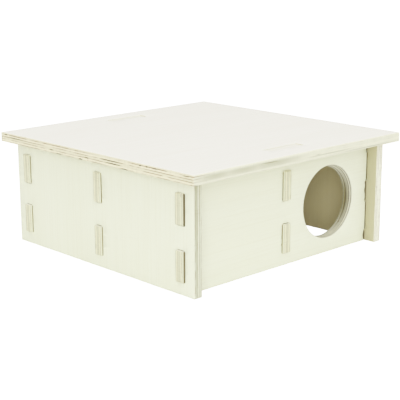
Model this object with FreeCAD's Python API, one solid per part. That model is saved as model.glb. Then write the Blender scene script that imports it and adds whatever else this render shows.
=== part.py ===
"""Four-chamber hamster house cut from plywood, with a lift-off lid.

Two side walls carry everything: the front wall, the back wall and the long partition
reach through slots in them with square tabs. A cross partition runs front to back, is
halved over the long partition, and reaches through slots in the front and back walls.
There is no floor. The lid lies on the wall tops, and a tab on top of the front wall and one
on the back wall reach into slots in the lid, so that it can't slide but lifts straight off.

Frame: millimetres, +Z up, front at -Y, origin on the ground under the lid's centre.
"""
import FreeCAD, Part
import os

# ---- Driving dimensions ------------------------------------------------------------

# Box of walls
HOUSE_WIDTH = 230.0  # across the outer faces of the side walls
HOUSE_DEPTH = 230.0  # length of the side walls, front to back
WALL_HEIGHT = 92.0
PLY = 8.0  # thickness of every wall and partition
WALL_SETBACK = 11.0  # side walls run on this far past the front and back walls

# Partitions
LONG_PARTITION_Y = 0.0  # centre of the partition that runs left to right
CROSS_PARTITION_X = 0.0  # centre of the partition that runs front to back

# Tab-and-slot joints
TAB_HEIGHT = 25.5
TAB_MARGIN = 10.5  # from a panel's top or bottom edge to the tab nearest it
TAB_PROUD = 2.0  # how far a tab's end stands out of the panel it passes through
TAB_CORNER = 1.2  # radius on a tab's two outer corners
SLOT_SIDE_GAP = 0.6  # room between a tab's face and its slot
SLOT_END_GAP = 0.5  # room above and below a tab in its slot
SLOT_CORNER = 1.6  # radius that the cutter leaves in a slot's corners
SHOULDER_GAP = 0.3  # between a panel's shoulder and the wall it butts against

# Halved joint where the partitions cross
LAP_SIDE_GAP = 0.3
LAP_END_GAP = 0.4

# Round openings
ENTRANCE_DIAMETER = 64.0  # in the front wall, into the right front chamber
ENTRANCE_SILL = 14.0  # from the ground to the entrance's lowest point
PASSAGE_DIAMETER = 64.0  # between chambers
PASSAGE_SILL = 14.0

# Lid
LID_THICKNESS = 8.0
LID_OVERHANG = 10.0  # past the side walls on all four sides
LID_EDGE = 0.6  # radius that eases the lid's edges
LID_TAB_X = 0.0  # centre of the tabs that hold the lid in place
LID_TAB_LENGTH = 40.0
LID_TAB_SUNK = 0.15  # how far a lid tab's top lies below the lid's upper face
LID_SLOT_GAP = 0.3  # room all round a lid tab in its slot
LID_SLOT_CORNER = 0.8  # smaller than SLOT_CORNER, so that the closer slot clears the tab's corners

# ---- Places worked out from them ------------------------------------------------------

HALF_PLY = PLY / 2
SIDE_INNER = HOUSE_WIDTH / 2 - PLY  # x of the right side wall's inner face
SIDE_WALL_X = HOUSE_WIDTH / 2 - HALF_PLY
END_WALL_Y = HOUSE_DEPTH / 2 - WALL_SETBACK - HALF_PLY  # y of the back wall's middle plane
END_INNER = END_WALL_Y - HALF_PLY
END_OUTER = END_WALL_Y + HALF_PLY
LAP_LEVEL = WALL_HEIGHT / 2
TAB_LEVELS = (TAB_MARGIN, WALL_HEIGHT - TAB_MARGIN - TAB_HEIGHT)  # lowest z of each tab

RIGHT_CHAMBER_X = (CROSS_PARTITION_X + HALF_PLY + SIDE_INNER) / 2
LEFT_CHAMBER_X = (CROSS_PARTITION_X - HALF_PLY - SIDE_INNER) / 2
BACK_CHAMBER_Y = (LONG_PARTITION_Y + HALF_PLY + END_INNER) / 2
FRONT_CHAMBER_Y = (LONG_PARTITION_Y - HALF_PLY - END_INNER) / 2


# ---- Helpers ---------------------------------------------------------------------------


def block(x0, x1, y0, y1, z0, z1):
    """A box between two corners."""
    return Part.makeBox(x1 - x0, y1 - y0, z1 - z0, FreeCAD.Vector(x0, y0, z0))


def edges_along(shape, direction, keep):
    """The straight edges of a shape that run along a direction and pass keep(midpoint)."""
    found = []
    for edge in shape.Edges:
        a, b = (v.Point for v in edge.Vertexes)
        run = (b - a).normalize()
        if abs(run.dot(direction)) > 0.999 and keep((a + b) / 2):
            found.append(edge)
    return found


# A panel is drawn standing along X with its middle plane at y = 0, then put in place.


def blank(low, high):
    """A panel's body between its two ends."""
    return block(low, high, -HALF_PLY, HALF_PLY, 0, WALL_HEIGHT)


def tab(shoulder, tip, level):
    """One tab, from inside the panel's shoulder to its tip, with rounded outer corners."""
    low, high = sorted((shoulder, tip))
    shape = block(low, high, -HALF_PLY, HALF_PLY, level, level + TAB_HEIGHT)
    corners = edges_along(shape, FreeCAD.Vector(0, 1, 0), lambda p: abs(p.x - tip) < 1e-6)
    return shape.makeFillet(TAB_CORNER, corners)


def tabbed(low, high, low_tip, high_tip):
    """A panel with two tabs at each end: low and high are its shoulders."""
    shape = blank(low, high)
    for level in TAB_LEVELS:
        shape = shape.fuse(tab(low + PLY, low_tip, level))
        shape = shape.fuse(tab(high - PLY, high_tip, level))
    return shape.removeSplitter()


def with_lid_tab(panel):
    """A wall with the tab on its top edge that holds the lid, its upper corners rounded."""
    low = LID_TAB_X - LID_TAB_LENGTH / 2
    high = LID_TAB_X + LID_TAB_LENGTH / 2
    top = WALL_HEIGHT + LID_THICKNESS - LID_TAB_SUNK
    shape = block(low, high, -HALF_PLY, HALF_PLY, WALL_HEIGHT - PLY, top)
    corners = edges_along(shape, FreeCAD.Vector(0, 1, 0), lambda p: abs(p.z - top) < 1e-6)
    return panel.fuse(shape.makeFillet(TAB_CORNER, corners)).removeSplitter()


def slots(x):
    """The pair of round-cornered slots that a tabbed panel's end passes through, at x."""
    half_width = HALF_PLY + SLOT_SIDE_GAP
    cutters = []
    for level in TAB_LEVELS:
        low = level - SLOT_END_GAP
        high = level + TAB_HEIGHT + SLOT_END_GAP
        cutter = block(x - half_width, x + half_width, -PLY, PLY, low, high)
        corners = edges_along(cutter, FreeCAD.Vector(0, 1, 0), lambda p: True)
        cutters.append(cutter.makeFillet(SLOT_CORNER, corners))
    return cutters


def round_hole(x, diameter, sill):
    """A round cutter through a panel, its lowest point at the sill height."""
    radius = diameter / 2
    start = FreeCAD.Vector(x, -PLY, sill + radius)
    return Part.makeCylinder(radius, 2 * PLY, start, FreeCAD.Vector(0, 1, 0))


def lap_notch(x, low, high):
    """The notch that lets the other partition pass at x, between two heights."""
    half_width = HALF_PLY + LAP_SIDE_GAP
    return block(x - half_width, x + half_width, -PLY, PLY, low, high)


def along_x(panel, y):
    """Puts a panel in place running left to right, with its middle plane at y."""
    panel.translate(FreeCAD.Vector(0, y, 0))
    return panel


def along_y(panel, x):
    """Puts a panel in place running front to back: its own +X end points to the back."""
    panel.rotate(FreeCAD.Vector(0, 0, 0), FreeCAD.Vector(0, 0, 1), 90)
    panel.translate(FreeCAD.Vector(x, 0, 0))
    return panel


# ---- Panels ------------------------------------------------------------------------------


def side_wall():
    """A side wall, with slots for the front wall, the long partition and the back wall."""
    shape = blank(-HOUSE_DEPTH / 2, HOUSE_DEPTH / 2)
    for y in (-END_WALL_Y, LONG_PARTITION_Y, END_WALL_Y):
        shape = shape.cut(slots(y))
    return shape


def panel_between_sides():
    """A tabbed panel that runs from one side wall through to the other."""
    shoulder = SIDE_INNER - SHOULDER_GAP
    tip = HOUSE_WIDTH / 2 + TAB_PROUD
    return tabbed(-shoulder, shoulder, -tip, tip)


def front_wall():
    """The front wall, with the entrance in its right half."""
    shape = with_lid_tab(panel_between_sides()).cut(slots(CROSS_PARTITION_X))
    return shape.cut(round_hole(RIGHT_CHAMBER_X, ENTRANCE_DIAMETER, ENTRANCE_SILL))


def back_wall():
    """The back wall, plain but for its lid tab and the cross partition's slots."""
    return with_lid_tab(panel_between_sides()).cut(slots(CROSS_PARTITION_X))


def long_partition():
    """The left-to-right partition, notched from above, with a passage in its left half."""
    shape = panel_between_sides()
    notch = lap_notch(CROSS_PARTITION_X, LAP_LEVEL - LAP_END_GAP / 2, 2 * WALL_HEIGHT)
    passage = round_hole(LEFT_CHAMBER_X, PASSAGE_DIAMETER, PASSAGE_SILL)
    return shape.cut(notch).cut(passage)


def cross_partition():
    """The front-to-back partition, notched from below, with a passage in each half."""
    shoulder = END_INNER - SHOULDER_GAP
    tip = END_OUTER + TAB_PROUD
    shape = tabbed(-shoulder, shoulder, -tip, tip)
    shape = shape.cut(lap_notch(LONG_PARTITION_Y, -WALL_HEIGHT, LAP_LEVEL + LAP_END_GAP / 2))
    for y in (FRONT_CHAMBER_Y, BACK_CHAMBER_Y):
        shape = shape.cut(round_hole(y, PASSAGE_DIAMETER, PASSAGE_SILL))
    return shape


# ---- Lid -----------------------------------------------------------------------------------


def lid_slot(y):
    """The round-cornered slot in the lid for the tab of the wall at y."""
    half_length = LID_TAB_LENGTH / 2 + LID_SLOT_GAP
    half_width = HALF_PLY + LID_SLOT_GAP
    top = WALL_HEIGHT + LID_THICKNESS + PLY
    cutter = block(
        LID_TAB_X - half_length,
        LID_TAB_X + half_length,
        y - half_width,
        y + half_width,
        WALL_HEIGHT - PLY,
        top,
    )
    corners = edges_along(cutter, FreeCAD.Vector(0, 0, 1), lambda p: True)
    return cutter.makeFillet(LID_SLOT_CORNER, corners)


def lid_panel():
    """The flat lid, with its outer edges eased and a slot over the front and the back wall."""
    half_x = HOUSE_WIDTH / 2 + LID_OVERHANG
    half_y = HOUSE_DEPTH / 2 + LID_OVERHANG
    top = WALL_HEIGHT + LID_THICKNESS
    shape = block(-half_x, half_x, -half_y, half_y, WALL_HEIGHT, top)
    shape = shape.makeFillet(LID_EDGE, shape.Edges)
    return shape.cut([lid_slot(-END_WALL_Y), lid_slot(END_WALL_Y)])


# ---- Build ---------------------------------------------------------------------------------


def build():
    """Every node's shape by name, in place."""
    return {
        "left_side_wall": along_y(side_wall(), -SIDE_WALL_X),
        "right_side_wall": along_y(side_wall(), SIDE_WALL_X),
        "front_wall": along_x(front_wall(), -END_WALL_Y),
        "back_wall": along_x(back_wall(), END_WALL_Y),
        "long_partition": along_x(long_partition(), LONG_PARTITION_Y),
        "cross_partition": along_y(cross_partition(), CROSS_PARTITION_X),
        "lid_panel": lid_panel(),
    }


os.makedirs("parts", exist_ok=True)
for name, shape in build().items():
    if not shape.isValid() or len(shape.Solids) != 1:
        raise ValueError(f"{name} has {len(shape.Solids)} solids or is not valid")
    shape.exportStep(f"parts/{name}.step")
    box = shape.BoundBox
    print(f"{name:24s} {box.XLength:7.1f} x {box.YLength:7.1f} x {box.ZLength:7.1f} mm, z {box.ZMin:.1f}")
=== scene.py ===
# %% [markdown]
# # A plywood hamster house, dressed for the camera
#
# The house is a flat-pack: seven panels cut from 8 mm plywood that slot together with square tabs.
# The CAD model already has every panel in its place and at its size. This script makes a finished
# piece for each one, with the stacked plies on its cut edges, eased corners, small chips and a
# veneered face, and leaves the CAD panels to the physics.
#
# Everything is in metres in the CAD's own frame: +Z is up and the front looks along -Y.

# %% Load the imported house
import math
from collections import Counter

import bpy
import numpy as np
from mathutils import Matrix, Vector
from mathutils.geometry import delaunay_2d_cdt


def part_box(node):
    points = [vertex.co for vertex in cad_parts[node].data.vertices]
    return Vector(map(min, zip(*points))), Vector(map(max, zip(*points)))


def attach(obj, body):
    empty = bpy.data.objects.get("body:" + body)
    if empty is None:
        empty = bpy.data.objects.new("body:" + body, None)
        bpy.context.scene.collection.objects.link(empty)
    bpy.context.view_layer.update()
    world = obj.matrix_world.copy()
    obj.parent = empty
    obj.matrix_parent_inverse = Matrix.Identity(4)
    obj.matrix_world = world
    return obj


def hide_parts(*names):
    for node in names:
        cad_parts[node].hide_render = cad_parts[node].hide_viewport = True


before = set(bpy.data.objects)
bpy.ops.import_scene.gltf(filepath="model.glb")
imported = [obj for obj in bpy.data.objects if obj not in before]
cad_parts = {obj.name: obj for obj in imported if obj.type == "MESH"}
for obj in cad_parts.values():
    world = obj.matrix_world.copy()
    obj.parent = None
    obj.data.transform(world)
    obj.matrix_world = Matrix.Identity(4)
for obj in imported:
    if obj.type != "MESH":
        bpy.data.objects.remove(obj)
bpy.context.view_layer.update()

# %% [markdown]
# ## The camera
#
# A low, square box is best seen from a little above one corner, so that two sides and the top show.
# A long lens from about a metre away keeps the upright edges nearly parallel. The view is given as
# two angles and a distance, as a tripod would be set up, and the matrix is worked out from them.

# %% Camera
VIEW_AZIMUTH = math.radians(-43.5)  # from the front, towards the left side
VIEW_ELEVATION = math.radians(14.09)
VIEW_ROLL = math.radians(-0.24)
VIEW_DISTANCE = 0.9577
VIEW_TARGET = Vector((0.0004, 0.0, 0.0375))
LENS = 95.63  # millimetres, for a sensor 36 mm wide


def new_object(name, data):
    """A new object in the scene."""
    made = bpy.data.objects.new(name, data)
    bpy.context.scene.collection.objects.link(made)
    return made


flat = Vector((math.sin(VIEW_AZIMUTH), -math.cos(VIEW_AZIMUTH), 0))
back = flat * math.cos(VIEW_ELEVATION) + Vector((0, 0, math.sin(VIEW_ELEVATION)))
right = Vector((math.cos(VIEW_AZIMUTH), math.sin(VIEW_AZIMUTH), 0))
level_turn = Matrix((right, back.cross(right), back)).transposed()
turn = level_turn @ Matrix.Rotation(VIEW_ROLL, 3, "Z")
camera = new_object("camera", bpy.data.cameras.new("camera"))
camera.matrix_world = Matrix.LocRotScale(VIEW_TARGET + back * VIEW_DISTANCE, turn, None)
camera.data.lens = LENS
camera.data.clip_start, camera.data.clip_end = 0.05, 50
bpy.context.scene.camera = camera
print("camera at", [round(c, 4) for c in camera.location])

# %% [markdown]
# ## Nodes in short
#
# A finish is a chain of shader nodes, and so are the floor's white and the light round it. Small
# helpers keep the chains readable: one adds any node and fills or joins its inputs, and others do a
# sum and hand back its result.

# %% Node helpers
def new_material(name):
    """A new material, its node tree and its output node, which is the only node in it."""
    material = bpy.data.materials.new(name)
    material.use_nodes = True
    tree = material.node_tree
    tree.nodes.clear()
    return material, tree, tree.nodes.new("ShaderNodeOutputMaterial")


def add(tree, kind, inputs=None, **settings):
    """A new node, with its settings made and its inputs set to values or joined to outputs."""
    node = tree.nodes.new("ShaderNode" + kind)
    for name, value in settings.items():
        setattr(node, name, value)
    for key, value in (inputs or {}).items():
        if isinstance(value, bpy.types.NodeSocket):
            tree.links.new(value, node.inputs[key])
        else:
            node.inputs[key].default_value = value
    return node


def work_out(tree, operation, *values):
    """The result of one sum on numbers or outputs."""
    return add(tree, "Math", dict(enumerate(values)), operation=operation).outputs[0]


def product(tree, first, second):
    return work_out(tree, "MULTIPLY", first, second)


# %% [markdown]
# ## The floor
#
# The house stands on seamless white paper, which throws soft light back up under the overhang of the
# lid. So it is a real white surface for the light, but what the camera sees of it directly is nearly
# all glow, to come out just white and without a horizon.

# %% White paper floor
PAPER_HALF_SIDE = 12.0
PAPER_WHITE = (0.93, 0.93, 0.92, 1)
PAPER_GLOW = 0.985  # share of the paper that is plain white to the camera
PLAIN_WHITE = 2.3  # well past the brightest light that the camera can tell apart

paper, tree, output = new_material("white_paper")
matt = add(tree, "BsdfDiffuse", {"Color": PAPER_WHITE}).outputs[0]
glow = add(tree, "Emission", {"Strength": PLAIN_WHITE}).outputs[0]
seen = add(tree, "LightPath").outputs["Is Camera Ray"]
mix = add(tree, "MixShader", {0: product(tree, seen, PAPER_GLOW), 1: matt, 2: glow})
tree.links.new(mix.outputs[0], output.inputs["Surface"])
mesh = bpy.data.meshes.new("paper_floor")
h = PAPER_HALF_SIDE
mesh.from_pydata([(-h, -h, 0), (h, -h, 0), (h, h, 0), (-h, h, 0)], [], [(0, 1, 2, 3)])
mesh.materials.append(paper)
new_object("paper_floor", mesh)
print("paper floor laid, m:", 2 * PAPER_HALF_SIDE)

# %% [markdown]
# ## The light
#
# Pale plywood is shown in a light tent: an even white surround that keeps the shadows thin, a large
# soft box almost overhead, and a lower one behind the camera that lights the walls up to the lid.
# Between them the top and the two sides differ slightly in tone, so that the corners read. In a real
# chamber light bounces from wall to wall many more times than it does here, so two weak strips of
# light stand behind the front wall, over and under the entrance, out of view.

# %% Light tent
TENT_STRENGTH = 0.95
SOFT_BOX_SIDE = 1.6
SOFT_BOXES = (  # place and watts
    ("high_soft_box", (-0.5, -0.7, 2.4), 34.5),
    ("low_soft_box", (-1.7, -1.8, 0.75), 36.0),
)
CHAMBER_LIGHT_SIZE = (0.06, 0.006)
CHAMBER_LIGHT_PLACE = (0.056, -0.0935)  # behind the middle of the entrance, close to the wall
CHAMBER_LIGHTS = (  # height, tilt and watts
    (0.086, math.radians(80), 0.005),
    (0.006, math.radians(100), 0.0015),
)


def area_light(name, size, watts, place, turn):
    """A flat light of a given width and height."""
    data = bpy.data.lights.new(name, "AREA")
    data.shape = "RECTANGLE"
    data.size, data.size_y = size
    data.energy = watts
    lamp = new_object(name, data)
    lamp.location = place
    lamp.rotation_euler = turn
    return lamp


world = bpy.data.worlds.new("light_tent")
bpy.context.scene.world = world
world.use_nodes = True
tree = world.node_tree
seen = add(tree, "LightPath").outputs["Is Camera Ray"]
strength = add(tree, "MapRange", {"Value": seen, "To Min": TENT_STRENGTH, "To Max": PLAIN_WHITE})
background = tree.nodes["Background"]
background.inputs["Color"].default_value = (1, 1, 1, 1)
tree.links.new(strength.outputs[0], background.inputs["Strength"])
for height, tilt, watts in CHAMBER_LIGHTS:
    place = (*CHAMBER_LIGHT_PLACE, height)
    strip = area_light("chamber_light", CHAMBER_LIGHT_SIZE, watts, place, (tilt, 0, 0))
    strip.visible_camera = False
for name, place, watts in SOFT_BOXES:
    facing = (Vector(place) - VIEW_TARGET).to_track_quat("Z", "Y").to_euler()
    area_light(name, (SOFT_BOX_SIDE, SOFT_BOX_SIDE), watts, place, facing)
print("lights:", len(CHAMBER_LIGHTS) + len(SOFT_BOXES))

# %% [markdown]
# ## The camera's response
#
# A bright picture isn't a straight record of the light: the camera squeezes the highlights together
# and opens up the middle tones. Pale wood comes out almost white with its grain hushed, while the
# dim inside of the house stays readable. A curve in the colour management does the same.

# %% Response curve
BRIGHTEST = 2.0  # light that comes out plain white
# Pairs of how bright a surface is and how bright it looks
RESPONSE = ((0.1, 0.12), (0.2, 0.25), (0.4, 0.45), (0.6, 0.6), (0.83, 0.72), (1.1, 0.83), (1.3, 0.89),
            (1.6, 0.955))

settings = bpy.context.scene.view_settings
settings.view_transform = "Standard"
settings.use_curve_mapping = True
settings.curve_mapping.white_level = (BRIGHTEST,) * 3
for light, look in RESPONSE:
    settings.curve_mapping.curves[3].points.new(light / BRIGHTEST, look)
settings.curve_mapping.update()
print("response points:", len(RESPONSE) + 2)

# %% [markdown]
# ## The lay-up
#
# Eight-millimetre plywood is five sheets of veneer glued together, each with its grain across the
# one below. On a cut edge they show as stripes with thin dark lines of glue between them. Sanding
# takes more off one face than off the other, so in three of the panels the lines lie off centre. From
# here on, distances in a panel are in millimetres.

# %% Plies and glue lines
MM = 1000.0  # millimetres in a metre
HALF_SHEET = 4.0
GLUE_LINES = (-3.2, -1.1, 1.1, 3.2)  # depth of each glue line from the sheet's middle
OTHER_LAY_UPS = {  # sheets that were sanded more on one face
    "lid_panel": (-3.6, -1.5, 0.6, 2.6),
    "left_side_wall": (-2.6, -0.5, 1.7, 3.6),
    "front_wall": (-3.4, -1.7, 1.4, 3.0),
}
ARRIS_DEPTHS = (4.0, 3.97, 3.88, 3.72, 3.5)  # points across an edge: close at its rounded arris,
OUTER_PLY_DEPTHS = (3.33, 3.2, 3.07, 2.75, 2.35, 1.95, 1.55)  # on either side of each glue line
INNER_PLY_DEPTHS = (1.23, 1.1, 0.97, 0.6, 0.2)  # and wider between them
HALF_DEPTHS = np.array(ARRIS_DEPTHS + OUTER_PLY_DEPTHS + INNER_PLY_DEPTHS)
EDGE_DEPTHS = np.concatenate((-HALF_DEPTHS, HALF_DEPTHS[::-1]))
print("rings of points across an edge:", len(EDGE_DEPTHS))

# %% [markdown]
# ## Reading a panel's outline
#
# The CAD panel says exactly where its tabs, slots and round holes are, so its outline is read from
# it rather than typed again. The triangles of one broad face are kept, and the sides that only one
# of them uses are the rim. Followed from point to point, they close into a loop round the outside
# and one round each opening.

# %% Panel axes and outline loops
# For each thin axis, the panel's own directions: along it, across it and through the sheet.
PANEL_AXES = np.array((
    ((0, 1, 0), (0, 0, 1), (1, 0, 0)),
    ((1, 0, 0), (0, 0, 1), (0, -1, 0)),
    ((1, 0, 0), (0, 1, 0), (0, 0, 1)),
))
ROUNDING = 2  # decimals of a millimetre that tell two points apart
SAME_LEVEL = 0.001


def panel_axes(node):
    low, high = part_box(node)
    return PANEL_AXES[int(np.argmin(np.array(high - low)))]


def local_points(node):
    """A CAD panel's vertices in its own directions, in millimetres."""
    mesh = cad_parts[node].data
    points = np.empty(len(mesh.vertices) * 3, np.float32)
    mesh.vertices.foreach_get("co", points)
    return points.reshape(-1, 3).astype(float) * MM @ panel_axes(node).T


def outline_loops(node):
    """The loops round a panel's upper face: counterclockwise outside, clockwise round openings."""
    points = local_points(node)
    top = points[:, 2].max()
    sides = Counter()
    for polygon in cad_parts[node].data.polygons:
        corners = points[list(polygon.vertices)]
        if np.all(corners[:, 2] > top - SAME_LEVEL):
            keys = [tuple(c) for c in np.round(corners[:, :2], ROUNDING)]
            sides.update(zip(keys, keys[1:] + keys[:1]))
    rim = {a: b for a, b in sides if (b, a) not in sides and a != b}
    loops = []
    while rim:
        start, point = rim.popitem()
        loop = [start]
        while point != start:
            loop.append(point)
            point = rim.pop(point)
        loops.append(np.array(loop))
    return loops


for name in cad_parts:
    print(name, "outline points:", [len(loop) for loop in outline_loops(name)])

# %% [markdown]
# ## Easing the outline
#
# A saw or a cutter never leaves a perfectly sharp corner, and a rounded one catches a thin light that
# makes it look solid. So each sharp corner of the outline becomes a small curve, a
# loop that is round is drawn again as a true circle, and long sides get points close enough for
# chips and the wander of the saw.

# %% Corners, circles and even spacing
POINT_SPACING = 1.4  # between points along a cut edge
CORNER_ROUNDING = 0.4  # radius on the outline's sharp corners
SHARP_TURN = math.radians(40)
ROUND_POINTS, ROUND_ERROR = 12, 0.1  # a round loop has more points than this, and strays less


def eased_corner(before, corner, after):
    """The points of a small curve in place of a sharp corner."""
    arriving = (corner - before) / np.linalg.norm(corner - before)
    leaving = (after - corner) / np.linalg.norm(after - corner)
    turn = math.acos(np.clip(arriving @ leaving, -1, 1))
    if turn < SHARP_TURN:
        return [corner]
    reach = CORNER_ROUNDING * math.tan(turn / 2)
    start, end = corner - arriving * reach, corner + leaving * reach
    curve = []
    for w in np.linspace(0, 1, 4):
        curve.append((1 - w) ** 2 * start + 2 * w * (1 - w) * corner + w**2 * end)
    return curve


def middle_of(loop):
    return (loop.max(0) + loop.min(0)) / 2


def is_round(loop):
    """Whether a loop's points all lie on one circle."""
    away = np.linalg.norm(loop - middle_of(loop), axis=1)
    return len(loop) > ROUND_POINTS and np.ptp(away) < ROUND_ERROR


def evenly_spaced(loop):
    """A loop with its sharp corners eased and its long sides divided."""
    if is_round(loop):
        centre = middle_of(loop)
        radius = np.linalg.norm(loop - centre, axis=1).mean()
        around = np.linspace(0, -2 * math.pi, int(2 * math.pi * radius / POINT_SPACING), endpoint=False)
        return centre + radius * np.stack((np.cos(around), np.sin(around)), 1)
    corners = zip(np.roll(loop, 1, 0), loop, np.roll(loop, -1, 0))
    curved = np.array([p for three in corners for p in eased_corner(*three)])
    points = []
    for a, b in zip(curved, np.roll(curved, -1, 0)):
        pieces = max(1, math.ceil(np.linalg.norm(b - a) / POINT_SPACING))
        points += [a + (b - a) * i / pieces for i in range(pieces)]
    return np.array(points)


# %% [markdown]
# ## Seating the tabs
#
# The CAD slots are centred on their tabs with room all round. On the real house each tab has been
# pushed against one side of its slot. A lower tab rests on the slot's floor, and an upper slot has
# pressed itself a little into the top of its tab. So each side of a slot is moved by itself, and the
# tabs stay where they are. The shoulders between the tabs were cut back, and leave a dark line.

# %% Seated slots and finished outlines
CAD_SIDE_ROOM, CAD_END_ROOM = 0.6, 0.5
FLOOR_ROOM = (0.05, 0.5)  # under a lower and an upper tab
TOP_ROOM = (0.25, -0.1)  # over them
SNUG, LOOSE = 0.1, (0.45, 0.45)  # beside them: on one side, and on the other side of either
FRONT_LOOSE = {"left_side_wall": (0.8, 1.2)}  # the front wall's slots in this wall are wider
FRONT_SLOTS = -50.0  # a side wall's slots further forward than this hold the front wall
WALL_MIDDLE = 46.0  # half the walls' height
WIDEST_SLOT = 15.0
SHOULDERS = {"front_wall": 106.7, "back_wall": 106.7, "long_partition": 106.7, "cross_partition": 95.7}
SHOULDER_REACH, SHOULDER_CLEARANCE = 0.5, 1.05  # what lies this near a shoulder goes back so far


def is_tab_slot(node, loop):
    """Whether a loop is a slot in an upright wall for another panel's tab."""
    return node != "lid_panel" and np.ptp(loop[:, 0]) < WIDEST_SLOT


def seated_slot(node, loop):
    """A slot moved in and out on its four sides, to the room that a seated tab leaves."""
    middle = middle_of(loop)
    level = int(middle[1] > WALL_MIDDLE)
    loose = (FRONT_LOOSE.get(node, LOOSE) if middle[0] < FRONT_SLOTS else LOOSE)[level]
    low = np.array((CAD_SIDE_ROOM - loose, CAD_END_ROOM - FLOOR_ROOM[level]))
    high = np.array((SNUG - CAD_SIDE_ROOM, TOP_ROOM[level] - CAD_END_ROOM))
    return loop + np.where(loop < middle, low, high)


def panel_loops(node):
    """A panel's finished outline. The lid's outer loop is moved out to its full size."""
    loops = outline_loops(node)
    points = local_points(node)[:, :2]
    outer = max(range(len(loops)), key=lambda i: np.prod(np.ptp(loops[i], axis=0)))
    low, high = points.min(0), points.max(0)
    rim = loops[outer]
    rim = np.where(rim == rim.min(0), low, np.where(rim == rim.max(0), high, rim))
    ends = np.abs(np.abs(rim[:, 0]) - SHOULDERS.get(node, 0)) < SHOULDER_REACH
    rim[ends, 0] -= np.sign(rim[ends, 0]) * SHOULDER_CLEARANCE
    loops[outer] = rim
    for i, loop in enumerate(loops):
        if is_tab_slot(node, loop):
            loops[i] = seated_slot(node, loop)
    return [evenly_spaced(loop) for loop in loops]


for name in ("front_wall", "lid_panel"):
    print(name, "edge points:", [len(loop) for loop in panel_loops(name)])

# %% [markdown]
# ## Wander, chips and voids
#
# Real edges vary slowly: a cutter wanders, an arris is rubbed rounder in one place than another, and
# a glue line rises and falls. Each is a smooth random curve that joins up with itself round the loop:
# white noise with its quick changes filtered out. Chips and core gaps are single smooth bumps
# instead, placed at random.

# %% Smooth random curves and spots
CURVE_STEPS = 2048  # random numbers in one curve
SPOT_HEIGHTS = (0.5, 1)


def loop_lengths(loop):
    """The distance along a loop at each of its points, and the loop's whole length."""
    steps = np.linalg.norm(np.roll(loop, -1, 0) - loop, axis=1)
    return np.concatenate(([0], np.cumsum(steps)[:-1])), steps.sum()


def wander(loop, wavelength, rng):
    """A smooth random curve round a loop, with a mean of 0 and a spread of 1."""
    distances, length = loop_lengths(loop)
    noise = np.fft.rfft(rng.normal(size=CURVE_STEPS))
    waves = np.arange(len(noise)) / length
    curve = np.fft.irfft(noise * np.exp(-((waves * wavelength) ** 2)), CURVE_STEPS)
    curve = (curve - curve.mean()) / max(curve.std(), 1e-9)
    return np.interp(distances, np.linspace(0, length, CURVE_STEPS + 1), np.append(curve, curve[0]))


def bump(away, reach):
    """A smooth bump: 1 in its middle, and 0 from the reach on."""
    return np.cos(np.clip(away / reach, 0, 1) * math.pi / 2) ** 2


def varied(loop, waves, rng):
    """A sum of smooth random curves, each with a spread and a wavelength."""
    return sum(spread * wander(loop, wavelength, rng) for spread, wavelength in waves)


def spots(loop, every, lengths, rng):
    """Smooth bumps at random places, on average one in each stretch of `every`."""
    distances, length = loop_lengths(loop)
    height = np.zeros(len(loop))
    for _ in range(rng.poisson(length / every)):
        place, reach = rng.uniform(0, length), rng.uniform(*lengths) / 2
        away = np.abs((distances - place + length / 2) % length - length / 2)
        height = np.maximum(height, bump(away, reach) * rng.uniform(*SPOT_HEIGHTS))
    return height


# %% [markdown]
# ## Marks that this house has
#
# Random wear is right in kind, but some marks are this house's own: core gaps and chips along the
# lid's left side, grey stretches and a nick in its front edge, where hardly any glue shows, and a
# painted shadow line low on the right of that edge, grey stripes down the left wall's front edge,
# painted shade deepening into the right of the entrance, and a ragged end on the front wall where
# the cutter tore the veneer. Each can be read off a panel with a ruler.

# %% Marks listed one by one
# Each mark is (along the panel, across it, depth from the sheet's middle, length, thickness), where
# the last number of a chip is how deep it goes. The glue doesn't show where the edge is clean.
MARKS = {
    "lid_panel": {
        "gaps": (
            (-125, 118, 2.6, 9, 0.5), (-125, 104, 0.7, 30, 0.5), (-125, 50, -1.5, 9, 0.5),
            (-125, 40, -3.7, 11, 0.7), (-125, 10, -3.7, 6, 0.9), (-125, 2, -1.4, 9, 0.6),
            (-125, -28, 0.6, 40, 0.55), (-125, -32, -1.5, 32, 0.45), (-125, -46, -3.7, 10, 0.9),
            (-125, -65, 2.5, 5, 0.7), (-125, -73, 2.5, 4, 0.8), (-125, -82, 2.4, 13, 0.4),
            (-125, -117, 2.2, 11, 0.5), (-44, -125, 1.6, 44, 0.4),
        ),
        "chips": ((-125, 40, -4, 9, 0.5), (-125, -46, -4, 8, 0.6), (-125, 88, 4, 5, 0.4)),
        "stains_and_shade": (
            (-102, -125, 0.2, 66, 4.6), (-72, -125, 0.2, 80, 4.6), (-36, -125, 0.2, 100, 4.6),
            # The mark at depth -2.85 on the right of the front edge is a painted shadow line under the
            # lid's lower edge
            (30, -125, -1.1, 100, 1.0), (80, -125, -2.85, 120, 1.0), (15, -125, -0.4, 9, 1.0),
        ),
        "clean": (*((x, -125, 0, 90, 12) for x in range(-100, 121, 20)), (-125, -20, 2.6, 110, 1.6)),
    },
    "left_side_wall": {
        "stains_and_shade": ((-115, 85, -1.6, 400, 3.0), (-115, 60, -0.4, 400, 1.1), (-115, 46, 1.7, 400, 0.9)),
    },
    "front_wall": {
        "chips": (
            (106.7, 47, 4, 9, 1), (106.7, 54, 4, 5, 0.8), (106.7, 38, 4, 5, 0.7),
            (106.7, 5, 4, 12, 1.3),
        ),
        "stains_and_shade": ((87, 43, 0, 94, 12),),  # here painted shade deepening into the entrance
        "clean": ((60, 10, 0, 84, 12),),
        "leaning": True,
    },
}


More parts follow.
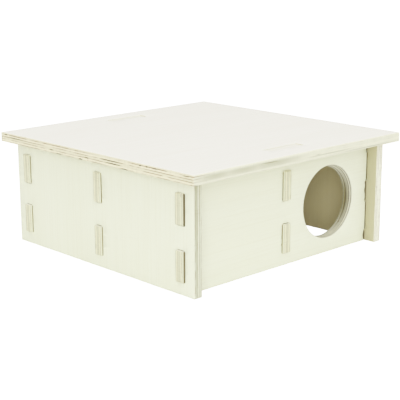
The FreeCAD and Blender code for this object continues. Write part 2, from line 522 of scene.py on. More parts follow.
def placed_spots(loop, marks, side=None):
    """A loop's share of the marks: how strong each is at each point, with its depth and size."""
    shares = []
    for along, across, depth, length, size in marks:
        away = np.linalg.norm(loop - (along, across), axis=1)
        share = bump(away, length / 2)
        if share.any() and (side is None or side * depth > 0):
            shares.append((share, depth, size))
    return shares


print("kinds of marks:", {node: list(kinds) for node, kinds in MARKS.items()})

# %% [markdown]
# ## Shaping a cut edge
#
# A cut edge is built like a stack of rings round the panel, from one broad face to the other. Each
# ring follows the outline, set in by a small amount: most at the two arrises, which are rubbed round
# with sandpaper, a little along the glue lines, where the glue breaks out, and deep at a core gap,
# where an inner veneer had a knot hole. A ring is never set outwards, so the panel never grows.

# %% Direction and depth of the edge
LOOK_ALONG = 1.5  # how far each way the outline's direction is judged


def inward_directions(loop):
    """The direction into the wood at each point, turning gently past corners."""
    distances, length = loop_lengths(loop)
    along = np.append(distances, length)
    closed = np.vstack((loop, loop[:1]))

    def place(at):
        return np.stack([np.interp(at % length, along, closed[:, i]) for i in (0, 1)], 1)

    ahead = place(distances + LOOK_ALONG) - place(distances - LOOK_ALONG)
    ahead /= np.linalg.norm(ahead, axis=1, keepdims=True)
    return np.stack((-ahead[:, 1], ahead[:, 0]), 1)


# %% Rounded and chipped arrises
ARRIS = 0.36
ARRIS_WAVES = ((0.07, 30), (0.04, 4))
ARRIS_RANGE = (0.14, 0.7)
SLOT_LENGTH = 80.0  # the outline of a tab's slot is shorter than this, and its rim isn't sanded,
SLOT_SHARPNESS = 0.6  # so it is this much sharper
CHIP_EVERY = 110.0
CHIP_LENGTHS = (2.0, 6.0)
CHIP_SIZE = 0.7


def arris_setback(loop, side, chips, rng):
    """How far the arris on one side (-1 or 1) is set in, for each point and ring."""
    radius = np.clip(ARRIS + varied(loop, ARRIS_WAVES, rng), *ARRIS_RANGE)
    if loop_lengths(loop)[1] < SLOT_LENGTH:
        radius *= SLOT_SHARPNESS
    radius += CHIP_SIZE * spots(loop, CHIP_EVERY, CHIP_LENGTHS, rng)
    for share, _, size in placed_spots(loop, chips, side):
        radius += size * share
    past = np.clip(side * EDGE_DEPTHS - HALF_SHEET + radius[:, None], 0, radius[:, None])
    return radius[:, None] - np.sqrt(radius[:, None] ** 2 - past**2)


# %% Plies, glue lines and core gaps
PLY_UNEVENNESS = 0.03
PLY_WAVE = 9.0
GLUE_GROOVE = 0.11
GLUE_WIDTH = 0.12
GLUE_SHOWS, GLUE_RANGE = 0.75, (0.05, 1.6)
GLUE_WAVES = ((0.35, 45.0), (0.45, 9.0))  # it comes and goes, slowly and in dashes
GAP_EVERY = 420.0
GAP_LENGTHS = (3.0, 9.0)
GAP_DEPTH = 1.3


def ply_setback(loop, rng):
    """Set-in of each ply by itself, because a blade cuts end grain and long grain differently."""
    levels = np.digitize(EDGE_DEPTHS, GLUE_LINES)
    plies = [np.abs(1 + wander(loop, PLY_WAVE, rng)) for _ in range(len(GLUE_LINES) + 1)]
    return PLY_UNEVENNESS * np.stack(plies, 1)[:, levels]


def glue_strength(loop, rng):
    """How strongly the glue line nearest each ring shows, from 0 to about 1.5."""
    nearest = np.argmin(np.abs(EDGE_DEPTHS[:, None] - np.array(GLUE_LINES)), axis=1)
    lines = [GLUE_SHOWS + varied(loop, GLUE_WAVES, rng) for _ in GLUE_LINES]
    return np.clip(np.stack(lines, 1)[:, nearest], *GLUE_RANGE)


def placed_bands(loop, depths, marks):
    """Marks of a given thickness in the sheet, from 0 to 1."""
    band = np.zeros(depths.shape)
    for along, depth, size in placed_spots(loop, marks):
        across = np.exp(-(((depths - depth) / (0.5 * size)) ** 4))
        band = np.maximum(band, along[:, None] * across)
    return band


def core_gaps(loop, depths, marks, rng):
    """Where an inner veneer is missing, from 0 to 1: at the marks, or where there are none, anywhere."""
    gap = np.zeros(depths.shape)
    for low, high in zip(GLUE_LINES, GLUE_LINES[1:]):
        along = spots(loop, GAP_EVERY, GAP_LENGTHS, rng)
        across = np.exp(-((2 * (depths - rng.uniform(low + 0.5, high - 0.5))) ** 4))
        gap = np.maximum(gap, along[:, None] * across)
    return placed_bands(loop, depths, marks) if marks else gap


# %% [markdown]
# ## Filling the broad faces
#
# Each broad face is a flat sheet with close points round it and openings in it. Blender's own
# triangulator joins any points while keeping given sides whole, and a loose grid of points keeps the
# triangles well shaped. Triangles that fall in an opening are dropped: a point is in the wood if a
# line from it crosses the outline an odd number of times.

# %% Face fill
GRID = 8.0
GRID_MARGIN = 3.0
SAME_POINT = 1e-6


def in_wood(points, loops):
    """Whether each point lies in the panel and not in one of its openings."""
    inside = np.zeros(len(points), bool)
    for loop in loops:
        for a, b in zip(loop, np.roll(loop, -1, 0)):
            spans = (points[:, 1] < a[1]) != (points[:, 1] < b[1])
            if spans.any():
                at = a[0] + (points[:, 1] - a[1]) * (b[0] - a[0]) / (b[1] - a[1])
                inside ^= spans & (points[:, 0] < at)
    return inside


def face_grid(loops):
    """Loose grid points for the inside of a face, clear of its edges."""
    rim = np.vstack(loops)
    low, high = rim.min(0), rim.max(0)
    steps = [np.arange(a + GRID / 2, b, GRID) for a, b in zip(low, high)]
    grid = np.stack(np.meshgrid(*steps), -1).reshape(-1, 2)
    grid = grid[in_wood(grid, loops)]
    away = np.array([np.min(np.sum((rim - p) ** 2, 1)) for p in grid])
    return grid[away > GRID_MARGIN**2]


def face_triangles(loops, marks, grid):
    """Triangles between the points of loops, marks and grid, numbered in that order."""
    points = np.vstack((*loops, *marks, grid))
    sides, start = [], 0
    for loop in (*loops, *marks):
        sides += [(start + i, start + (i + 1) % len(loop)) for i in range(len(loop))]
        start += len(loop)
    found = delaunay_2d_cdt([Vector(p) for p in points], sides, [], 0, SAME_POINT)
    triangles = np.array([[found[3][i][0] for i in t] for t in found[2]])
    middles = points[triangles].mean(1)
    return triangles[in_wood(middles, loops)]


# %% [markdown]
# ## A whole panel
#
# The rings of every loop and the two filled faces share their points, so a panel comes out as one
# closed skin. With each point go values for the finish: its place in the sheet of plywood, how much
# end grain the cut shows, how strong the glue is, how deep a core gap, how stained it is and where
# it carries painted shade, how far out along a slot, and how near the lid's top. Each panel's place
# in the sheet is shifted at random, so that no two show the same wood. Two things aren't straight:
# the entrance's cutter leaned and went a little wide on the left, and the lid has warped, as plywood
# does, with the tops of the walls following it.

# %% Rings of one edge
GLUE_RISE, GLUE_RISE_WAVE = 0.09, 45.0  # how far a glue line wanders from its place in the sheet
LEAN_OUTSIDE = np.array((-0.6, -0.6))  # the entrance's cutter leaned: its hole is off by this outside
LEAN_INSIDE = np.array((-1.9, -1.5))  # and by this inside,
TAPER = 1.4  # where its radius is also smaller
WIDER_LEFT = 0.9  # outside, the hole reaches this much further to the left, and less so inside
ENTRANCE_GLUE = 0.8  # the glue shows at least this strongly in the entrance


def ring_depths(loop, lay_up, rng):
    """The depth of each ring at each point: the glue lines rise and fall, the faces stay put."""
    lines = [line + GLUE_RISE * wander(loop, GLUE_RISE_WAVE, rng) for line in lay_up]
    face = np.full(len(loop), HALF_SHEET)
    moved = np.stack((-face, *lines, face), 1)
    nominal = (-HALF_SHEET, *GLUE_LINES, HALF_SHEET)
    return np.stack([np.interp(EDGE_DEPTHS, nominal, row) for row in moved])


def lean(flat, inward, depths):
    """Moves the entrance's rings to where the leaning cutter left them."""
    share = (HALF_SHEET - depths[:, :, None]) / (2 * HALF_SHEET)
    flat += LEAN_OUTSIDE + (LEAN_INSIDE - LEAN_OUTSIDE - TAPER * inward[:, None]) * share
    flat[:, :, 0] += WIDER_LEFT / 2 * (inward[:, :1] - 1) * (1 - share[:, :, 0])


def edge_rings(loop, lay_up, marks, rng):
    """The points of a loop's rings, ring by ring, and the values that go with them."""
    inward = inward_directions(loop)
    depths = ring_depths(loop, lay_up, rng)
    gap = core_gaps(loop, depths, marks["gaps"], rng)
    # Grey marks, and where painted shade lies
    stain_and_shade = placed_bands(loop, depths, marks["stains_and_shade"])
    leaning = marks["leaning"] and is_round(loop)
    glue = glue_strength(loop, rng).clip(ENTRANCE_GLUE if leaning else 0)
    glue *= 1 - placed_bands(loop, depths, marks["clean"])
    on_line = np.abs(EDGE_DEPTHS[:, None] - np.array(GLUE_LINES)).min(1)
    setback = ply_setback(loop, rng) + GLUE_GROOVE * glue * np.exp(-((on_line / GLUE_WIDTH) ** 2))
    setback += GAP_DEPTH * gap
    setback[:, [0, -1]] = 0
    for side in (-1, 1):
        setback += arris_setback(loop, side, marks["chips"], rng)
    flat = loop[:, None] + inward[:, None] * setback[:, :, None]
    if leaning:
        lean(flat, inward, depths)
    points = np.dstack((flat, depths))
    sheet = np.dstack((flat, np.broadcast_to(EDGE_DEPTHS, gap.shape)))
    end_grain = np.broadcast_to(np.abs(inward[:, :1]), gap.shape)
    rows = np.dstack((points, sheet, end_grain, glue, gap, stain_and_shade)).transpose(1, 0, 2)
    return rows.reshape(-1, rows.shape[2])


# %% Which face is the better one
# The last finish is the back veneer with painted shade, for a side wall's corner strip outside the house
GOOD_FACE, BACK_FACE, EDGE, ROUND_EDGE, CORNER_SHADE_FACE = range(5)  # the order of a piece's finishes


def sheet_middle(node):
    """Where the middle of a panel's sheet lies along its thin axis."""
    return middle_of(local_points(node))[2]


def face_grades(node):
    """The finishes of a panel's lower and upper face: the better one looks out of the house."""
    middle = sheet_middle(node)
    if abs(middle) < HALF_SHEET:
        return BACK_FACE, BACK_FACE
    return (BACK_FACE, GOOD_FACE) if middle > 0 else (GOOD_FACE, BACK_FACE)


print({node: face_grades(node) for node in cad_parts})

# %% [markdown]
# ## Crevices
#
# Between its tabs, a panel's end leaves a thin crevice beside the side wall, and painted shade
# darkens it. So each such place is drawn on the side wall as two rectangles, one just inside the
# other, and the painted shade fades in from the outer to the inner one.

# %% Crevices on the side walls
CREVICE_EDGE = 0.3
CREVICE_MARGIN = 1.0


def crevices(node):
    """An outer and an inner loop for each place on a side wall where a panel's end stands close."""
    if "side_wall" not in node:
        return []
    height = local_points(node)[:, 1].max()
    slots = [loop for loop in outline_loops(node) if is_tab_slot(node, loop)]
    middles = [middle_of(loop) for loop in slots]
    found = []
    for place in sorted({round(float(middle[0])) for middle in middles}):
        column = [loop[:, 1] for loop, middle in zip(slots, middles) if abs(middle[0] - place) < 1]
        levels = sorted([0, height] + [end for v in column for end in (v.min(), v.max())])
        for bottom, top in zip(levels[::2], levels[1::2]):
            low = np.array((place - HALF_SHEET, bottom + CREVICE_MARGIN))
            high = np.array((place + HALF_SHEET, top - CREVICE_MARGIN))
            for inset in (0, CREVICE_EDGE):
                (u, v), (w, x) = low + inset, high - inset
                found.append(np.array(((u, v), (w, v), (w, x), (u, x))))
    return found


print("crevices on the left wall:", len(crevices("left_side_wall")) // 2)

# %% Faces of the skin
FAR = 1e3  # stands for a place that is nowhere near
# The column for grey marks also holds where painted shade lies on the lid's edge and in the entrance
END_GRAIN, GLUE, CORE_GAP, STAIN_AND_SHADE, IN_SLOT, FLUSH = range(6, 12)  # columns of a point's row,
VALUES = {"sheet": slice(3, 6), "end_grain": END_GRAIN, "glue": GLUE, "core_gap": CORE_GAP,
          "stain_and_shade": STAIN_AND_SHADE, "in_slot": IN_SLOT, "flush": FLUSH}  # after its own place
SLOT_MIDDLE = 4.0  # halfway through the wall


def ring_quads(start, count):
    """The faces between a loop's rings, where the first ring starts at a point number."""
    ring, point = np.meshgrid(np.arange(len(EDGE_DEPTHS) - 1), np.arange(count), indexing="ij")
    here, following = start + ring * count + point, start + ring * count + (point + 1) % count
    return np.stack((here, following, following + count, here + count), -1).reshape(-1, 4)


def broad_face(rows, rims, marks, level):
    """Triangles that fill one broad face between its rims, and the rows with its new points."""
    edges = [rows[rim, :2] for rim in rims]
    grid = face_grid(edges)
    for mark in marks:
        grid = grid[~np.all((grid > mark.min(0)) & (grid < mark.max(0)), axis=1)]
    marked = np.vstack((*marks, grid))
    numbers = np.concatenate((*rims, len(rows) + np.arange(len(marked))))
    triangles = numbers[face_triangles(edges, marks, grid)]
    inner = np.zeros((len(marked), rows.shape[1]))
    inner[:, :2] = inner[:, 3:5] = marked
    inner[:, 2] = inner[:, 5] = level
    inner[:, IN_SLOT] = inner[:, FLUSH] = -FAR
    # Crevice rectangles get slot values, so the slots' painted shade covers them
    for i in range(len(marks)):
        inner[4 * i : 4 * i + 4, IN_SLOT] = SLOT_MIDDLE * (i % 2)
    return triangles if level > 0 else triangles[:, ::-1], np.vstack((rows, inner))


# %% Values of the skin
SLOT_SHADE_DEPTH = 3.6  # the painted shade in a slot reaches no nearer the face than this depth
FLUSH_LEVEL = 99.0  # what stands above this height has been sanded level with the lid
SHEET_SHIFT = 900.0
OPEN_STRIP = 103.0  # further out than this, a side wall's back face is outside the house, in a corner with painted shade


def set_values(node, loops, starts, rows, rng):
    """Fills in how far out along a slot each point is, how near the lid's top, and its sheet."""
    if node in SHOULDERS:
        rows[:, IN_SLOT] = np.abs(rows[:, 0]) - SHOULDERS[node]
    for start, loop in zip(starts, loops):
        if is_tab_slot(node, loop):
            ring = slice(start, start + len(loop) * len(EDGE_DEPTHS))
            rows[ring, IN_SLOT] = np.where(np.abs(rows[ring, 5]) < SLOT_SHADE_DEPTH, SLOT_MIDDLE, -FAR)
    if node != "lid_panel":
        rows[:, FLUSH] = rows[:, 1] - FLUSH_LEVEL
    if "side_wall" in node:  # its grain stands upright
        rows[:, 3:5] = rows[:, [4, 3]]
        rows[:, END_GRAIN] = np.sqrt(1 - np.clip(rows[:, END_GRAIN], 0, 1) ** 2)
    rows[:, 3:5] += rng.uniform(-SHEET_SHIFT, SHEET_SHIFT, 2)


def give_values(mesh, rows):
    """Stores each value with the mesh's points, for the finish to read."""
    for name, columns in VALUES.items():
        values = rows[:, columns]
        kind, field = ("FLOAT_VECTOR", "vector") if values.ndim == 2 else ("FLOAT", "value")
        layer = mesh.attributes.new(name, kind, "POINT")
        layer.data.foreach_set(field, values.astype(np.float32).ravel())


def finish_numbers(node, loops, rows, broad_faces):
    """The number of the finish of each face, in the order of the faces."""
    numbers = []
    for loop in loops:
        numbers += [ROUND_EDGE if is_round(loop) else EDGE] * (len(loop) * (len(EDGE_DEPTHS) - 1))
    for triangles, finish in broad_faces:
        outside = np.abs(rows[triangles, 0].mean(1)) > OPEN_STRIP
        # A side wall's back face in the corner strip outside the house gets painted shade
        corner_shaded = outside & (finish == BACK_FACE) & ("side_wall" in node)
        numbers += np.where(corner_shaded, CORNER_SHADE_FACE, finish).tolist()
    return numbers


# %% Skin of a panel
LID_WARP = 0.4  # how far the lid's far left and near right corners have sagged
LID_SIDE = 250.0
SAG_LEVELS = (84.0, 92.0)  # the walls follow the lid more and more between these heights
SHARP_EDGE = math.radians(35)


def sag(points):
    """How far the lid, and the tops of the walls under it, hang lower at each point."""
    share = np.interp(points[:, 2], SAG_LEVELS, (0, 1))
    return LID_WARP * share * ((points[:, 0] - points[:, 1]) / LID_SIDE) ** 2


def panel_mesh(node, seed):
    """A panel's finished skin in the CAD's frame, with its values for the finish."""
    marks = {"chips": (), "gaps": (), "stains_and_shade": (), "clean": (), "leaning": False} | MARKS.get(node, {})
    lay_up = OTHER_LAY_UPS.get(node, GLUE_LINES)
    rng = np.random.default_rng(seed)
    loops = panel_loops(node)
    rows = np.vstack([edge_rings(loop, lay_up, marks, rng) for loop in loops])
    rows = np.pad(rows, ((0, 0), (0, FLUSH + 1 - rows.shape[1])), constant_values=-FAR)
    starts = np.cumsum([0] + [len(loop) * len(EDGE_DEPTHS) for loop in loops])
    faces = np.vstack([ring_quads(start, len(loop)) for start, loop in zip(starts, loops)]).tolist()
    lower = [start + np.arange(len(loop)) for start, loop in zip(starts, loops)]
    upper = [end - len(loop) + np.arange(len(loop)) for end, loop in zip(starts[1:], loops)]
    broad_faces = []
    for level, rims, finish in zip((-HALF_SHEET, HALF_SHEET), (lower, upper), face_grades(node)):
        triangles, rows = broad_face(rows, rims, crevices(node) if finish == BACK_FACE else [], level)
        faces += triangles.tolist()
        broad_faces.append((triangles, finish))
    set_values(node, loops, starts, rows, rng)
    place = (rows[:, :3] + (0, 0, sheet_middle(node))) @ panel_axes(node)
    place[:, 2] -= sag(place)
    mesh = bpy.data.meshes.new(f"plywood_{node}")
    mesh.from_pydata((place / MM).tolist(), [], faces)
    give_values(mesh, rows)
    mesh.polygons.foreach_set("material_index", finish_numbers(node, loops, rows, broad_faces))
    mesh.polygons.foreach_set("use_smooth", np.ones(len(faces), bool))
    mesh.set_sharp_from_angle(angle=SHARP_EDGE)
    return mesh


# %% [markdown]
# ## Patterns and blends
#
# Most of what shows in wood is long one way, so the finishes use noise stretched with the grain.
# Colours are laid over each other by shares that fade in and out smoothly, as stains do.

# %% Pattern helpers
def faded(tree, value, low, high, to_low=0.0, to_high=1.0):
    """A value moved smoothly from one range to another and held at its ends."""
    inputs = {"Value": value, 1: low, 2: high, 3: to_low, 4: to_high}
    return add(tree, "MapRange", inputs, interpolation_type="SMOOTHSTEP").outputs[0]


def blended(tree, share, tone, colour):
    """A tone with a colour over it by a share from 0 to 1."""
    inputs = {0: share, 6: tone, 7: colour}
    return add(tree, "Mix", inputs, data_type="RGBA").outputs[2]


def layered(tree, tone, colour, pattern, low, high, most=1.0):
    """A tone with a colour over it where a pattern rises from low to high."""
    return blended(tree, faded(tree, pattern, low, high, 0, most), tone, colour)


def point_value(tree, name, output="Fac"):
    """A value that was stored with the mesh's points."""
    return add(tree, "Attribute", attribute_name=name).outputs[output]


def patterns(tree, *kinds):
    """Noise from 0 to 1 for each kind: its changes in a millimetre, its detail and its twist."""
    sheet = point_value(tree, "sheet", "Vector")
    found = []
    for changes, detail, twist in kinds:
        scaled = add(tree, "VectorMath", {0: sheet, 1: changes}, operation="MULTIPLY").outputs[0]
        inputs = {"Vector": scaled, "Scale": 1.0, "Detail": detail, "Distortion": twist}
        found.append(add(tree, "TexNoise", inputs).outputs["Fac"])
    return found


# %% [markdown]
# ## The veneer's face
#
# The broad faces are rotary-cut poplar, sanded smooth and left bare: very pale, with broad soft
# bands, fine streaks along the grain and a few short darker flecks, all faint. The pattern is worked
# out in the sheet's own millimetres, so it stays at its real size. The surface is matt, with a fine
# relief of fibres. Plywood has one better face, which looks outwards here, and a browner back, whose
# deep tone is partly painted shade for the dim inside of the house. Where a side wall's back stands
# outside the house, in the corners beside the front and back walls, it has deeper painted shade. The
# slots and what lies in them, and the crevices beside the side walls, carry painted shade.

# %% Painted shade in the slots
WALL_FACE = 8.3  # how far out a tab reaches the face of the wall that it passes through
GOOD_CLEAR, BACK_CLEAR = 9.7, 8.9  # how far out a tab's better and browner faces carry painted shade
SLOT_START, TAB_TIP = (-0.7, -0.3), (9.7, 10.2)  # the painted shade starts and ends between these
SLOT_SHADE_FADE = 0.7  # the distance over which it fades
# Painted shade for the dark of the narrow gaps round the tabs and of the crevices
SLOT_SHADE = (0.195, 0.165, 0.095, 1)
PROUD_SLOT_SHADE = 0.1  # what is left of it further out on the broad faces


def slot_shaded(tree, tone, clear, proud):
    """A tone with painted shade on it, in a slot and on a tab as far out as it lies in one."""
    depth = point_value(tree, "in_slot")
    share = faded(tree, depth, clear - SLOT_SHADE_FADE, clear, 1, proud)
    share = product(tree, share, faded(tree, depth, *SLOT_START))
    share = product(tree, share, faded(tree, depth, *TAB_TIP, 1, 0))
    return blended(tree, share, tone, SLOT_SHADE)


# %% Veneer finish
# How many times each pattern changes in a millimetre along the grain, across it and through, with
# its detail and its twist
BANDS = (0.004, 0.045, 1.0), 2.0, 0.6
STREAKS = (0.012, 0.6, 1.0), 5.0, 0.0
FIBRES = (0.12, 4.5, 1.0), 2.0, 0.0
FLECKS = (0.22, 2.6, 2.0), 0.0, 0.0
# Three close tones of each veneer, from pale to deep
WALL_TONES = ((0.719, 0.741, 0.555, 1), (0.705, 0.724, 0.531, 1), (0.64, 0.633, 0.43, 1))
LID_TONES = ((0.81, 0.785, 0.695, 1), (0.8, 0.773, 0.677, 1), (0.75, 0.71, 0.6, 1))
# The back's tones are partly its own browner colour and partly painted shade for the dim inside of the
# house
BACK_AND_SHADE_TONES = ((0.536, 0.478, 0.284, 1), (0.522, 0.461, 0.27, 1), (0.48, 0.41, 0.226, 1))
# Painted shade for a side wall's back where it stands in a corner outside the house
CORNER_SHADE_TONES = ((0.44, 0.415, 0.258, 1), (0.428, 0.4, 0.244, 1), (0.395, 0.35, 0.205, 1))


def finished(tree, output, tone, roughness, relief, bump, shine):
    """Joins a tone, a roughness and a relief into one surface; bump is its strength and height."""
    raised = add(tree, "Bump", {"Strength": bump[0], "Distance": bump[1], "Height": relief})
    inputs = {"Base Color": tone, "Roughness": roughness, "Normal": raised.outputs[0]}
    shader = add(tree, "BsdfPrincipled", inputs | {"Specular IOR Level": shine})
    tree.links.new(shader.outputs[0], output.inputs["Surface"])


def veneer(name, tones, clear):
    """A bare veneer face, smoothed with sandpaper, with painted shade as far out as a tab of it lies in
    a slot.
    """
    pale, middle, deep = tones
    material, tree, output = new_material(name)
    bands, streaks, fibres, flecks = patterns(tree, BANDS, STREAKS, FIBRES, FLECKS)
    fleck = faded(tree, flecks, 0.72, 0.8, 0, 0.5)
    tone = layered(tree, pale, middle, bands, 0.3, 0.7)
    tone = layered(tree, tone, deep, streaks, 0.42, 0.8, 0.4)
    tone = layered(tree, tone, deep, fibres, 0.45, 0.8, 0.2)
    tone = blended(tree, fleck, tone, deep)
    # Past its slot a tab's face takes the pale outer tone, without the back tone's painted shade. In and
    # near the slot it gets painted shade.
    tone = layered(tree, tone, WALL_TONES[0], point_value(tree, "in_slot"), clear - 0.3, clear + 0.2)
    tone = slot_shaded(tree, tone, clear, PROUD_SLOT_SHADE)
    relief = work_out(tree, "ADD", product(tree, fibres, 0.6), product(tree, streaks, 0.4))
    relief = work_out(tree, "SUBTRACT", relief, product(tree, fleck, 0.5))
    roughness = faded(tree, streaks, 0.3, 0.7, 0.52, 0.68)
    finished(tree, output, tone, roughness, relief, bump=(0.35, 0.0001), shine=0.35)
    return material


wall_veneer = veneer("wall_veneer", WALL_TONES, GOOD_CLEAR)
lid_veneer = veneer("lid_veneer", LID_TONES, GOOD_CLEAR)
back_veneer = veneer("back_veneer", BACK_AND_SHADE_TONES, BACK_CLEAR)
corner_shade_veneer = veneer("back_veneer_corner_shade", CORNER_SHADE_TONES, BACK_CLEAR)
print("veneer finishes:", [m.name for m in (wall_veneer, lid_veneer, back_veneer, corner_shade_veneer)])

# %% [markdown]
# ## The cut edge
#
# On a cut edge each ply shows either its long grain or its end grain, and the next ply the other.
# End grain drinks dust and looks darker and greyer. Which is which follows from the direction of the
# cut, so one finish serves straight edges and the round entrance. The glue shows as thin brown
# dashes between the plies, and a core gap as a pit with painted shade. The lid's edge has redder
# glue, is cooler along the front and has a painted shadow line low on its right; the entrance has
# painted shade deepening into the cut on one side; what is level with the lid is paled by sanding;
# the narrow sides of a tab's end are paled with painted light; and the slots carry painted shade.

# %% Plies as they were sawn
RUN = (0.05, 0.05, 2.2), 4.0, 0.0  # the grain's run,
PORES = (1.6, 1.6, 2.4), 3.0, 0.0  # the pores of the end grain,
SAW_MARKS = (0.9, 0.9, 0.1), 2.0, 0.0  # the marks of the blade,
SLOW = (0.012, 0.012, 0.45), 1.0, 0.0  # and a slow change of tone along the edge
INNER_LINE, OUTER_LINE = GLUE_LINES[2:]
GLUE_BROWN = (0.2, 0.125, 0.07, 1)
COOL_EDGE = (0.64, 0.69, 0.56, 1)  # of the lid's edge where it runs along the grain


def sawn_plies(tree, depth, tones, cool):
    """The tone of the bare plies, the pores in them and their relief."""
    long_grain, end_grain, face_ply = tones
    meets = point_value(tree, "end_grain")
    past_inner = work_out(tree, "GREATER_THAN", depth, INNER_LINE)
    in_cross_ply = product(tree, past_inner, work_out(tree, "LESS_THAN", depth, OUTER_LINE))
    crossed = work_out(tree, "SUBTRACT", 1.0, meets)
    ended = add(tree, "Mix", {0: in_cross_ply, 2: meets, 3: crossed}).outputs[0]
    run, pores, saw, slow = patterns(tree, RUN, PORES, SAW_MARKS, SLOW)
    cream = layered(tree, long_grain, face_ply, run, 0.35, 0.7)
    grey = layered(tree, end_grain, face_ply, pores, 0.35, 0.75, 0.8)
    grey = layered(tree, grey, GLUE_BROWN, pores, 0.55, 0.75, 0.35)
    tone = layered(tree, cream, grey, ended, 0.2, 0.8)
    tone = layered(tree, tone, end_grain, slow, 0.4, 0.7, 0.35)
    tone = layered(tree, tone, GLUE_BROWN, saw, 0.5, 0.8, 0.18)
    tone = blended(tree, faded(tree, meets, 0.3, 0.7, cool, 0), tone, COOL_EDGE)
    relief = work_out(tree, "ADD", product(tree, pores, ended), product(tree, saw, 0.5))
    return tone, pores, relief


# %% Painted shade in the entrance, glue, sanding and painted light
GLUE_DARK = (0.06, 0.05, 0.03, 1)
GLUE_RED = (0.17, 0.085, 0.045, 1)
GLUE_HALF_WIDTH = 0.24
GLUE_STAIN_REACH = 0.6  # the glue soaks a little way into the wood beside it
GLUE_STAIN = 0.35
TAB_END, TAB_END_GLUE = (8.8, 9.6), 0.55  # between these the glue fades to this share,
TAB_CORNER = (9.5, 9.9)  # and between these the painted light on a tab's narrow sides ends
# Painted shade that deepens into the cut of the entrance, on its right
DEPTH_SHADE = (0.125, 0.105, 0.036, 1)
DEPTH_SHADE_GROWS, DEPTH_SHADE_EASES = (3.6, -2.0), (-2.0, -2.8)  # between these depths
DEPTH_SHADE_AT_END = 0.75
PROUD_PAINTED_LIGHT = 0.7  # how strongly painted light pales the narrow sides of a tab's end
FLUSH_SANDING = 0.75  # how far the sanding has paled a tab that is level with the lid


def depth_shaded(tree, tone, through, depth_shade_share):
    """A tone with painted shade on it that grows with the depth of the cut and eases off at its end."""
    share = faded(tree, through, *DEPTH_SHADE_GROWS, 0, depth_shade_share)
    share = product(tree, share, faded(tree, through, *DEPTH_SHADE_EASES, 1, DEPTH_SHADE_AT_END))
    return blended(tree, product(tree, share, point_value(tree, "stain_and_shade")), tone, DEPTH_SHADE)


def glued(tree, tone, depth, glue, half_width):
    """A tone with the glue lines on it and the glue soaked into the wood on both sides of them."""
    off_lines = [work_out(tree, "SUBTRACT", depth, line) for line in (OUTER_LINE, INNER_LINE)]
    off_line = work_out(tree, "MINIMUM", *[work_out(tree, "ABSOLUTE", off) for off in off_lines])
    strength = work_out(tree, "MINIMUM", point_value(tree, "glue"), 1.0)
    tab_end = faded(tree, point_value(tree, "in_slot"), *TAB_END, 1, TAB_END_GLUE)
    strength = product(tree, strength, tab_end)
    for reach, share in ((GLUE_STAIN_REACH, GLUE_STAIN), (half_width, 1.0)):
        near_line = product(tree, faded(tree, off_line, 0.0, reach, share, 0), strength)
        tone = blended(tree, near_line, tone, glue)
    return tone


def sanded_and_lit(tree, tone):
    """A tone paled by sanding where it is level with the lid, and by painted light on the narrow sides
    of a tab's end.
    """
    tone = layered(tree, tone, LID_TONES[0], point_value(tree, "flush"), -0.6, 0.3, FLUSH_SANDING)
    out = point_value(tree, "in_slot")
    share = faded(tree, out, WALL_FACE, WALL_FACE + 0.4, 0, PROUD_PAINTED_LIGHT)
    return blended(tree, product(tree, share, faded(tree, out, *TAB_CORNER, 1, 0)), tone, LID_TONES[0])


# %% Cut-edge finish
# A grey for the lid's grey stretches and the left wall's stripes, and for the painted shadow line under
# the lid's front edge
STAIN_AND_SHADE_SHARE = 0.6
STAIN_AND_SHADE_GREY = (0.262, 0.258, 0.155, 1)
# Painted shade in the core gaps
GAP_SHADE = (0.12, 0.085, 0.05, 1)
# The tones of the long grain, the end grain and the face plies
WALL_PLIES = ((0.69, 0.675, 0.445, 1), (0.49, 0.49, 0.325, 1), (0.635, 0.625, 0.41, 1))
LEFT_PLIES = ((0.665, 0.675, 0.495, 1), (0.525, 0.545, 0.395, 1), (0.625, 0.635, 0.465, 1))
RIGHT_PLIES = ((0.76, 0.755, 0.575, 1), (0.722, 0.72, 0.556, 1), (0.741, 0.739, 0.565, 1))
LID_PLIES = ((0.72, 0.67, 0.455, 1), (0.64, 0.605, 0.405, 1), (0.7, 0.65, 0.435, 1))
ROUND_PLIES = ((0.67, 0.65, 0.49, 1), (0.53, 0.528, 0.405, 1), (0.615, 0.6, 0.455, 1))


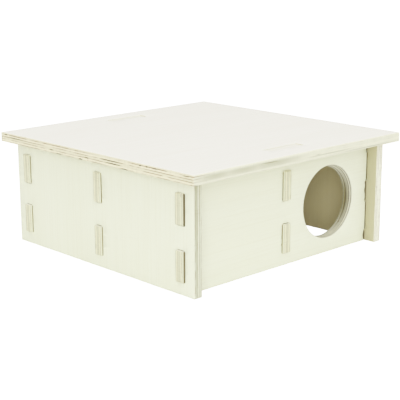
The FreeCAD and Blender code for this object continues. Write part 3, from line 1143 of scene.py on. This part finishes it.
def cut_edge(name, tones, glue=GLUE_BROWN, half_width=GLUE_HALF_WIDTH, depth_shade_share=0.0, cool=0.0):
    """The sawn edge of five-ply. Where there is painted depth shade, the stored marks say where it lies.
    """
    material, tree, output = new_material(name)
    through = add(tree, "SeparateXYZ", {0: point_value(tree, "sheet", "Vector")}).outputs[2]
    depth = work_out(tree, "ABSOLUTE", through)
    tone, pores, relief = sawn_plies(tree, depth, tones, cool)
    if depth_shade_share:
        tone = depth_shaded(tree, tone, through, depth_shade_share)
    tone = glued(tree, tone, depth, glue, half_width)
    if not depth_shade_share:
        tone = blended(tree, product(tree, point_value(tree, "stain_and_shade"), STAIN_AND_SHADE_SHARE), tone, STAIN_AND_SHADE_GREY)
    tone = layered(tree, tone, GAP_SHADE, point_value(tree, "core_gap"), 0.15, 0.6)
    # Paled by sanding level with the lid, painted light on a tab's end, then painted shade in the slots
    tone = slot_shaded(tree, sanded_and_lit(tree, tone), WALL_FACE, 0.0)
    roughness = faded(tree, pores, 0.3, 0.7, 0.66, 0.85)
    finished(tree, output, tone, roughness, relief, bump=(0.5, 0.0002), shine=0.25)
    return material


wall_edge = cut_edge("wall_cut_edge", WALL_PLIES)
# The entrance's edge, with painted shade deepening into its cut
round_edge = cut_edge("round_cut_edge", ROUND_PLIES, GLUE_DARK, half_width=0.42, depth_shade_share=0.97)
own_edges = {
    "left_side_wall": cut_edge("left_wall_cut_edge", LEFT_PLIES),
    "right_side_wall": cut_edge("right_wall_cut_edge", RIGHT_PLIES),
    "lid_panel": cut_edge("lid_cut_edge", LID_PLIES, GLUE_RED, half_width=0.34, cool=0.4),
}
print("panels with an edge finish of their own:", list(own_edges))

# %% [markdown]
# ## The seven panels
#
# Each CAD panel is stood for by one finished piece with its own seed. The walls and partitions ride
# on the house, and the lid rides on its own body, so it lifts off with nothing left behind.

# %% Build the panels
FIRST_SEED = 41

for number, node in enumerate(sorted(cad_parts)):
    is_lid = node == "lid_panel"
    body, material_slot = ("lid", "lid_plywood") if is_lid else ("house", "wall_plywood")
    mesh = panel_mesh(node, FIRST_SEED + number)
    outside = lid_veneer if is_lid else wall_veneer
    for finish in (outside, back_veneer, own_edges.get(node, wall_edge), round_edge, corner_shade_veneer):
        mesh.materials.append(finish)
    piece = new_object(f"plywood_{node}", mesh)
    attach(piece, body)
    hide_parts(node)
    print(f"{piece.name}: {len(mesh.vertices)} points, {len(mesh.polygons)} faces")
